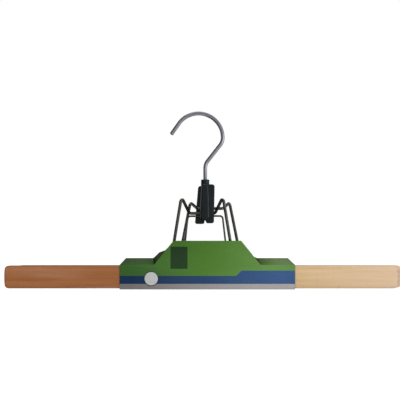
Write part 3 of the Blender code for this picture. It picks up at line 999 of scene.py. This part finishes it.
def liner_outline(low, high):
    """A liner's outline: an upright rectangle with rounded corners."""
    corners = ((low.x, low.z), (high.x, low.z), (high.x, high.z), (low.x, high.z))
    return [(x, z, LINER_CORNER) for x, z in corners]


def bar_outline(low, high):
    """A bar's outline: straight along, with rounded corners and ends that bow out in an arc."""
    middle_z = (low.z + high.z) / 2
    half_height = (high.z - low.z) / 2
    bend = BAR_END_ARC * half_height / (BAR_END_BOW / half_height)
    out = BAR_END_ARC / 2 * BAR_END_BOW
    back = BAR_END_BOW - out
    return [
        (low.x + back, low.z, BAR_CORNER),
        (high.x - back, low.z, BAR_CORNER),
        (high.x + out, middle_z, bend),
        (high.x - back, high.z, BAR_CORNER),
        (low.x + back, high.z, BAR_CORNER),
        (low.x - out, middle_z, bend),
    ]


def jaw_middle(side):
    """Sideways place and depth of a jaw's middle, which is its bar's."""
    low, high, _, _ = jaw_box(side, "bar")
    return (low.x + high.x) / 2, (low.y + high.y) / 2


def frame_middle(side):
    """Sideways place and depth of a frame's middle, a little to the right of its bar's."""
    middle_x, middle_y = jaw_middle(side)
    return middle_x + FRAME_SHIFT, middle_y


def frame_leg(side, hand):
    """A frame's straight run from its knee down to its foot in the bar."""
    middle_x, middle_y = frame_middle(side)
    knee = at(middle_x + hand * KNEE_HALF_SPAN, middle_y, KNEE_HEIGHT)
    foot = at(middle_x + hand * FOOT_HALF_SPAN, middle_y, FOOT_HEIGHT)
    return knee, foot


def spring_leg(side):
    """The spring's leg to one jaw: its lead below the coil, its knee and its foot in the bar."""
    hand = -side
    low = COIL_Z - SPRING_RADIUS
    end_x = hand * SPRING_TURNS * SPRING_PITCH / 2
    _, middle_y = jaw_middle(side)
    lead = Vector((end_x, side * SPRING_LEAD, low))
    knee = Vector((hand * SPRING_KNEE_X, side * SPRING_LEAD, low))
    foot = at(hand * SPRING_FOOT_X, middle_y, SPRING_FOOT_HEIGHT)
    return lead, knee, foot


class HANGER_OT_stage(bpy.types.Operator):
    """Camera at the photograph's place, soft lamps, a pale floor and a dark surround for the gloss"""

    bl_idname = "hanger.stage"
    bl_label = "Stage"

    def execute(self, context):
        stage = context.scene.hanger_stage
        scene = context.scene
        data = bpy.data.cameras.new("camera")
        data.lens = stage.lens
        data.sensor_width = SENSOR_WIDTH
        data.shift_x = CAMERA_SHIFT_X
        data.shift_y = CAMERA_SHIFT_Y
        camera = put("camera", data)
        camera.location = at(CAMERA_X, -stage.camera_distance, stage.camera_height)
        camera.rotation_euler = (math.radians(90.0), 0.0, 0.0)
        scene.camera = camera
        scene.view_settings.view_transform = "Standard"

        for name, place in LAMPS.items():
            self.lamp(name, place, stage.key_power if name == "key" else stage.fill_power)
        self.floor()
        self.dim_room(stage.room_radius)
        self.world(stage.world_strength)
        return {"FINISHED"}

    def lamp(self, name, place, power):
        data = bpy.data.lights.new(name, "AREA")
        data.size = LAMP_SIZE
        data.energy = power
        lamp = put(name, data)
        lamp.location = place
        aim = Vector(LAMP_AIM) - Vector(place)
        lamp.rotation_euler = aim.to_track_quat("-Z", "Y").to_euler()
        lamp.visible_glossy = False

    def floor(self):
        work = bmesh.new()
        bmesh.ops.create_grid(work, x_segments=1, y_segments=1, size=FLOOR_HALF_SIZE)
        bmesh.ops.translate(work, vec=at(0.0, 0.0, -FLOOR_DROP), verts=work.verts)
        made = Finish("pale floor")
        grain = made.noise(made.place(), scale=40.0)
        made.surface(
            Base_Color=made.mix(grain, *FLOOR_COLOURS),
            Roughness=0.9,
            Emission_Color=(1.0, 1.0, 1.0),
            Emission_Strength=made.times(made.seen_directly(), FLOOR_GLOW),
        )
        floor = keep_mesh("floor", work, [made.material])
        floor.visible_glossy = False

    def dim_room(self, radius):
        """A room that only gloss sees: dark behind and to the left, light to the right."""
        work = bmesh.new()
        bmesh.ops.create_icosphere(work, subdivisions=4, radius=radius)
        made = Finish("dim room")
        made.surface(Base_Color=(0.0, 0.0, 0.0), Roughness=1.0, Specular_IOR_Level=0.0)
        unit = 1.0 / radius
        across, deep, up = made.axes(made.place((unit, unit, unit)))

        def toward(way):
            """How far a place of the room lies towards a level direction."""
            right, back = way
            return made.math("MULTIPLY_ADD", deep, back, made.times(across, right))

        walls = made.math("ADD", toward(WALL_SLOPE), WALL_GLOW)
        walls = made.math("MAXIMUM", walls, WALL_LEAST)
        table = made.span(made.math("ABSOLUTE", up), *TABLE_EDGE, 0.0, TABLE_GLOW)
        window = made.span(toward(WINDOW_WAY), *WINDOW_EDGE, 0.0, WINDOW_GLOW)
        rear_window = made.span(toward(REAR_WINDOW_WAY), *REAR_WINDOW_EDGE, 0.0, REAR_WINDOW_GLOW)
        aside = made.math("ABSOLUTE", toward(STRIP_ACROSS))
        strip = made.span(aside, *STRIP_EDGE, STRIP_GLOW, 0.0)
        strip = made.times(strip, made.span(deep, *STRIP_IN_FRONT, 1.0, 0.0))
        bright = walls
        for patch in (table, rear_window, strip):
            bright = made.math("MAXIMUM", bright, patch)
        height = made.span(up, *ROOM_COLOUR_EDGE)
        made.surface(
            Emission_Color=made.mix(height, ROOM_LOW_COLOUR, ROOM_HIGH_COLOUR),
            Emission_Strength=made.math("ADD", bright, window),
        )
        room = keep_mesh("dim_room", work, [made.material])
        room.visible_camera = False
        room.visible_diffuse = False
        room.visible_shadow = False
        room.visible_transmission = False

    def world(self, strength):
        world = bpy.data.worlds.new("studio")
        bpy.context.scene.world = world
        world.use_nodes = True
        made = Nodes(world.node_tree)
        light = made.span(made.seen_directly(), 0.0, 1.0, strength, 1.0)
        made.fill(made.nodes["Background"], Color=(1.0, 1.0, 1.0), Strength=light)


class HANGER_OT_hook(bpy.types.Operator):
    """Plated wire hook: upset head, shank, two reverse bends, bow and tip"""

    bl_idname = "hanger.hook"
    bl_label = "Hook"

    def execute(self, context):
        wires = context.scene.hanger_wires
        lean_z = HUB_TOP_Z + HOOK_SHANK_ABOVE_HUB
        centre = Vector((HOOK_BOW_X, 0.0, lean_z + HOOK_BOW_RISE))
        start = HOOK_BOW_START
        end = HOOK_BOW_END
        bow = []
        for step in range(HOOK_BOW_STEPS + 1):
            turn = start + (end - start) * step / HOOK_BOW_STEPS
            bow.append(centre + HOOK_BOW_RADIUS * Vector((math.cos(turn), 0.0, math.sin(turn))))

        # The slanting run leaves the shank at its lean and meets the bow's own tangent
        foot = lean_z * UP
        down = Vector((math.sin(start), 0.0, -math.cos(start)))
        lean = Vector((math.cos(HOOK_LEAN), 0.0, math.sin(HOOK_LEAN)))
        to_bow = bow[0] - foot
        reach = (to_bow.x * down.z - to_bow.z * down.x) / (lean.x * down.z - lean.z * down.x)
        base = HOOK_HEAD_Z * UP
        corners = [base, foot, foot + lean * reach, bow[0]]
        path = bent_path(corners, [HOOK_BEND, HOOK_BEND], HOOK_BEND_STEPS)
        path += bow[1:]
        path.append(bow[-1] + HOOK_TIP_LENGTH * Vector((-math.sin(end), 0.0, math.cos(end))))
        stations = round_off(path, HOOK_WIRE / 2)

        head = [(base + rise * UP, radius) for rise, radius in HOOK_HEAD]
        top_of_head = head[-1][0].z
        above_head = [station for station in stations if station[0].z > top_of_head]
        work = wire_mesh(head + above_head, wires.round_sides)
        hook = keep_mesh("hook_wire", work, [plated_wire(wires)], WIRE_ANGLE)
        finish_piece(hook, "hook", "hook_wire", "hook")
        return {"FINISHED"}


class HANGER_OT_frames(bpy.types.Operator):
    """The two bent wire frames: foot, knee, handle, axle through the hub, and the same again"""

    bl_idname = "hanger.frames"
    bl_label = "Frames"

    def execute(self, context):
        wires = context.scene.hanger_wires
        finish = dark_wire(wires)
        for side, word in SIDES.items():
            middle_x, _ = frame_middle(side)
            halves = {}
            for hand in (-1, 1):
                knee, foot = frame_leg(side, hand)
                handle_x = middle_x + hand * HANDLE_HALF_SPAN
                handle = at(handle_x, side * HANDLE_DEPTH, HANDLE_HEIGHT[side])
                axle_end = Vector((middle_x + hand * AXLE_HALF_LENGTH, 0.0, AXLE_Z[side]))
                halves[hand] = [foot, knee, handle, axle_end]
            corners = halves[-1] + halves[1][::-1]
            bends = [KNEE_BEND, HANDLE_BEND, AXLE_BEND]
            path = bent_path(corners, bends + bends[::-1], wires.bend_steps)
            work = wire_mesh(round_off(path, FRAME_WIRE / 2), wires.round_sides)
            made = keep_mesh(f"{word}_frame_wire", work, [finish], WIRE_ANGLE)
            finish_piece(made, f"{word}_jaw", "frame_wire", f"{word}_frame")
        return {"FINISHED"}


class HANGER_OT_spring(bpy.types.Operator):
    """The closing spring as two halves, each running between the hub and the jaw that it pushes"""

    bl_idname = "hanger.spring"
    bl_label = "Closing spring"

    def execute(self, context):
        wires = context.scene.hanger_wires
        finish = dark_wire(wires)
        for side, word in SIDES.items():
            hand = -side
            coil = []
            coil_steps = SPRING_STEPS_A_TURN * SPRING_TURNS // 2
            for step in range(coil_steps + 1):
                turn = SPRING_TURNS * math.pi * step / coil_steps
                x = hand * (SPRING_PITCH * turn / (2 * math.pi) + SPRING_HALVES_GAP)
                y = hand * SPRING_RADIUS * math.sin(turn)
                coil.append(Vector((x, y, COIL_Z + SPRING_RADIUS * math.cos(turn))))
            lead, knee, foot = spring_leg(side)
            bends = [SPRING_LEAD_BEND, SPRING_KNEE_BEND]
            leg = bent_path([coil[-1], lead, knee, foot], bends, wires.bend_steps)
            steps = range(1, SPRING_LEG_STEPS + 1)
            run = [leg[-2].lerp(leg[-1], step / SPRING_LEG_STEPS) for step in steps]
            path = coil + leg[1:-1] + run
            radius = SPRING_WIRE / 2
            tip = path[-1]
            along = (tip - path[-2]).normalized()
            stations = [(place, radius) for place in path[:-1]]
            stations.append((tip - along * SPRING_TIP_LENGTH, radius))
            stations.append((tip, radius * SPRING_TIP_SHARE))
            work = wire_mesh(stations, wires.spring_sides)
            half = keep_mesh(f"closing_spring_{word}", work, [finish], WIRE_ANGLE)
            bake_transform(half)
            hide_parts("closing_spring")
        return {"FINISHED"}


class HANGER_OT_hub(bpy.types.Operator):
    """The hub's two moulded shells, each with its wing, bores and spring room"""

    bl_idname = "hanger.hub"
    bl_label = "Hub"

    def execute(self, context):
        hub = context.scene.hanger_hub
        finish = black_moulding(hub)
        for side, word in SIDES.items():
            shell = self.shell(side, hub, finish)
            shell.name = f"hub_{word}_moulding"
            finish_piece(shell, "hub", "hub_plastic", f"hub_{word}_shell")
        return {"FINISHED"}

    def levels(self):
        """The body from the top down: (z, half width, half depth, squareness)."""
        collar = HOOK_HEAD_Z + HUB_BODY_LENGTH
        neck = HUB_NECK_RADIUS
        bottom = COIL_Z - SPRING_ROOM_RADIUS - HUB_FLOOR
        made = [(HUB_TOP_Z, neck - HUB_LIP, neck - HUB_LIP, ROUND)]
        made.append((HUB_TOP_Z - HUB_LIP, neck, neck, ROUND))
        turns = [math.pi / 2 * step / HUB_ARC_STEPS for step in range(HUB_ARC_STEPS + 1)]
        for turn in turns:
            share = math.sin(turn)
            drop = HUB_SHOULDER_RADIUS * (1 - math.cos(turn))
            depth = neck + (HUB_HALF_DEPTH - neck) * share
            made.append((collar - drop, neck, depth, ROUND + (SQUARE - ROUND) * share))
        made.append((COIL_Z + SPRING_ROOM_RADIUS, HUB_HALF_WIDTH, HUB_HALF_DEPTH, SQUARE))
        for turn in turns:
            tuck = HUB_FOOT_RADIUS * (1 - math.cos(turn))
            z = bottom + HUB_FOOT_RADIUS * (1 - math.sin(turn))
            made.append((z, HUB_HALF_WIDTH - tuck, HUB_HALF_DEPTH - tuck, SQUARE))
        return made

    def body(self, side, groove):
        """Half of the lofted body, cut on the parting plane, with half of the groove along it."""
        work = bmesh.new()
        next_to_parting = math.sin(2 * math.pi / HUB_SEGMENTS)
        rings = []
        for z, half_width, half_depth, squareness in self.levels():
            made = bmesh.ops.create_circle(work, segments=HUB_SEGMENTS, radius=1.0)
            power = 2 / squareness
            for vert in made["verts"]:
                x, y, _ = vert.co
                vert.co.x = half_width * math.copysign(abs(x) ** power, x)
                vert.co.y = half_depth * math.copysign(abs(y) ** power, y)
                vert.co.z = z

                # On the parting plane the outline steps in; next to it, it keeps its full width
                if abs(y) < 0.5 * next_to_parting:
                    vert.co.x = math.copysign(half_width - groove, x)
                elif abs(y) < 1.5 * next_to_parting:
                    vert.co.x = math.copysign(half_width, x)
                    vert.co.y = math.copysign(groove, y)
            rings.append(made["verts"])
        bmesh.ops.holes_fill(work, edges=bridge(work, rings))
        face_out(work)
        bmesh.ops.bisect_plane(
            work,
            geom=work.verts[:] + work.edges[:] + work.faces[:],
            plane_co=(0.0, 0.0, 0.0),
            plane_no=(0.0, side, 0.0),
            clear_inner=True,
        )
        bmesh.ops.holes_fill(work, edges=rim(work, 0.0))
        face_out(work)
        return work

    def wing(self, side, thickness):
        """The shell's flat wing, on the right of the front shell and the left of the rear one."""
        hand = -side
        low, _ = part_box(f"hub_{SIDES[side]}_shell")
        top_z = HOOK_HEAD_Z + HUB_BODY_LENGTH - WING_DROP
        outer = side * (HUB_HALF_DEPTH - WING_INSET)
        inner = outer - side * thickness
        corners = [
            (hand * WING_ROOT, low.z, WING_FOOT_CORNER),
            (hand * WING_FOOT_WIDTH[side], low.z, WING_FOOT_CORNER),
            (hand * WING_TOP_WIDTH[side], top_z, WING_TOP_CORNER),
            (hand * WING_ROOT, top_z, 0.0),
        ]
        work = plate(corners, inner, outer)
        round_edges(work, rim(work, outer), WING_OUTER_EDGE, segments=4)
        round_edges(work, rim(work, inner), WING_INNER_EDGE, segments=2)
        return work

    def shell(self, side, hub, finish):
        """Body and wing, with bores for axles and shank and room for spring, lead and head."""
        hand = -side
        shell = keep_mesh("shell", self.body(side, hub.parting_groove), [finish])
        carve(shell, self.wing(side, hub.wing_thickness), "UNION")
        past = (HUB_HALF_WIDTH + TOOL_PAST) * RIGHT
        for z in AXLE_Z.values():
            carve(shell, rod(z * UP - past, z * UP + past, FRAME_WIRE / 2 + BORE_GAP))
        reach = SPRING_ROOM_HALF_LENGTH * RIGHT
        carve(shell, rod(COIL_Z * UP - reach, COIL_Z * UP + reach, SPRING_ROOM_RADIUS))
        lead, _, _ = spring_leg(side)
        half_slot = SPRING_WIRE / 2 + SEAT_GAP
        near = Vector((0.0, -side * SEAT_GAP, lead.z - half_slot))
        far = Vector((hand * past.x, lead.y + side * half_slot, lead.z + half_slot))
        slot = bmesh.new()
        bmesh.ops.create_cube(slot, size=1.0)
        bmesh.ops.scale(slot, vec=[abs(size) for size in far - near], verts=slot.verts)
        bmesh.ops.translate(slot, vec=(near + far) / 2, verts=slot.verts)
        carve(shell, slot)
        base = (HOOK_HEAD_Z - SEAT_GAP) * UP
        top = (HUB_TOP_Z + TOOL_PAST) * UP
        carve(shell, rod(base, top, HOOK_WIRE / 2 + SHANK_GAP))
        carve(shell, rod(base, base + HOOK_HEAD_ROOM * UP, HOOK_HEAD_RADIUS + SEAT_GAP))
        settle(shell)
        return shell


class HANGER_OT_bars(bpy.types.Operator):
    """The two lacquered wooden bars, drilled for the frames' feet and the spring's legs"""

    bl_idname = "hanger.bars"
    bl_label = "Bars"

    def execute(self, context):
        wood = context.scene.hanger_wood
        for side, word in SIDES.items():
            low, high, inner, outer = jaw_box(side, "bar")
            work = plate(bar_outline(low, high), inner, outer)
            round_edges(work, rim(work, outer), wood.edge_radius, segments=8)
            round_edges(work, rim(work, inner), BAR_INNER_EDGE, segments=3)
            finish = lacquered_wood(wood, f"{word} beech", GRAIN_START[side])
            bar = keep_mesh(f"{word}_bar_wood", work, [finish])
            for hand in (-1, 1):
                knee, foot = frame_leg(side, hand)
                carve(bar, rod(foot, knee, FRAME_WIRE / 2 + DRILL_GAP))
            _, knee, foot = spring_leg(side)
            carve(bar, rod(foot, knee, SPRING_WIRE / 2 + DRILL_GAP))
            settle(bar)
            finish_piece(bar, f"{word}_jaw", "bar_wood", f"{word}_bar")
        return {"FINISHED"}


class HANGER_OT_liners(bpy.types.Operator):
    """The felt liners that grip the garment"""

    bl_idname = "hanger.liners"
    bl_label = "Liners"

    def execute(self, context):
        finish = pressed_felt(context.scene.hanger_wood)
        for side, word in SIDES.items():
            low, high, inner, outer = jaw_box(side, "liner")
            work = plate(liner_outline(low, high), outer, inner)
            round_edges(work, rim(work, inner), LINER_EDGE, segments=4)
            liner = keep_mesh(f"{word}_felt", work, [finish])
            finish_piece(liner, f"{word}_jaw", "liner_felt", f"{word}_liner")
        return {"FINISHED"}


class HANGER_OT_sleeve(bpy.types.Operator):
    """The folded card sleeve: printed outside, board with painted shade inside, plain board on its cut
    edges
    """

    bl_idname = "hanger.sleeve"
    bl_label = "Card sleeve"

    def execute(self, context):
        card = context.scene.hanger_card
        low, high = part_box("card_sleeve")
        half = card.thickness / 2
        front_y, back_y = low.y + half, high.y - half
        front_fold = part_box("front_bar")[1].z + TOP_STRIP_GAP + half
        back_fold = front_fold + TOP_STRIP_RISE
        middle_x = (low.x + high.x) / 2
        work = bmesh.new()

        def wall(depth_y, fold_z, left_slope, right_slope):
            outline = [(low.x, low.z + half), (high.x, low.z + half), (high.x, fold_z)]
            outline += [(middle_x + width, z) for width, z in reversed(right_slope)]
            outline += [(middle_x - width, z) for width, z in left_slope]
            outline.append((low.x, fold_z))
            return [work.verts.new((x, depth_y, z)) for x, z in outline]

        plain = [(TAB_TOP_HALF_WIDTH, high.z), (TAB_BASE_HALF_WIDTH, front_fold)]
        notched = [(REAR_TAB_LEFT_TOP, high.z)]
        notched += [(width, UNDERSIDE + height) for width, height in REAR_TAB_LEFT_NOTCH]
        notched.append((REAR_TAB_LEFT_BASE, back_fold))
        flare_width, flare_rise = REAR_TAB_RIGHT_FLARE
        flared = [(TAB_TOP_HALF_WIDTH, high.z), (flare_width, back_fold + flare_rise)]
        flared.append((REAR_TAB_RIGHT_BASE, back_fold))
        front = wall(front_y, front_fold, plain, plain)
        back = wall(back_y, back_fold, notched, flared)
        work.faces.new(front)
        work.faces.new(back[::-1])
        work.faces.new((front[1], front[0], back[0], back[1]))
        work.faces.new((front[3], front[2], back[2], back[3]))
        work.faces.new((front[-1], front[-2], back[-2], back[-1]))
        face_out(work)
        folds = [edge for edge in work.edges if len(edge.link_faces) == 2]
        round_edges(work, folds, SLEEVE_FOLD, segments=5)
        finishes = [
            printed_card(card),
            # Painted shade: the inside of the sleeve takes the board colour darkened for the shade
            # there
            bare_board("board in painted shade", card.board, card.board_specks),
            bare_board("cut board edge", card.cut_edge, card.board_specks),
        ]
        sleeve = keep_mesh("printed_sleeve", work, finishes)
        skin = sleeve.modifiers.new("card", "SOLIDIFY")
        skin.thickness = card.thickness
        skin.offset = 0.0
        skin.use_even_offset = True
        skin.material_offset = 1
        skin.material_offset_rim = 2
        finish_piece(sleeve, "sleeve", "sleeve_card", "card_sleeve")
        return {"FINISHED"}


OPERATORS = (
    HANGER_OT_stage,
    HANGER_OT_hook,
    HANGER_OT_frames,
    HANGER_OT_spring,
    HANGER_OT_hub,
    HANGER_OT_bars,
    HANGER_OT_liners,
    HANGER_OT_sleeve,
)
GROUPS = {
    "hanger_wires": HangerWires,
    "hanger_hub": HangerHub,
    "hanger_wood": HangerWood,
    "hanger_card": HangerCard,
    "hanger_stage": HangerStage,
}


class HANGER_PT_looks(bpy.types.Panel):
    """The pieces of the hanger, in the order in which they are built"""

    bl_label = "Skirt hanger"
    bl_space_type = "VIEW_3D"
    bl_region_type = "UI"
    bl_category = "Hanger"

    def draw(self, context):
        for name, group in GROUPS.items():
            box = self.layout.box()
            for prop in group.__annotations__:
                box.prop(getattr(context.scene, name), prop)
        for operator in OPERATORS:
            self.layout.operator(operator.bl_idname)


CLASSES = (*GROUPS.values(), *OPERATORS, HANGER_PT_looks)


def register():
    for each in CLASSES:
        bpy.utils.register_class(each)
    for name, group in GROUPS.items():
        setattr(bpy.types.Scene, name, bpy.props.PointerProperty(type=group))


def unregister():
    for name in GROUPS:
        delattr(bpy.types.Scene, name)
    for each in reversed(CLASSES):
        bpy.utils.unregister_class(each)


def main():
    register()
    bpy.ops.hanger.stage()
    bpy.ops.hanger.hook()
    bpy.ops.hanger.frames()
    bpy.ops.hanger.spring()
    bpy.ops.hanger.hub()
    bpy.ops.hanger.bars()
    bpy.ops.hanger.liners()
    bpy.ops.hanger.sleeve()


if __name__ == "__main__":
    main()
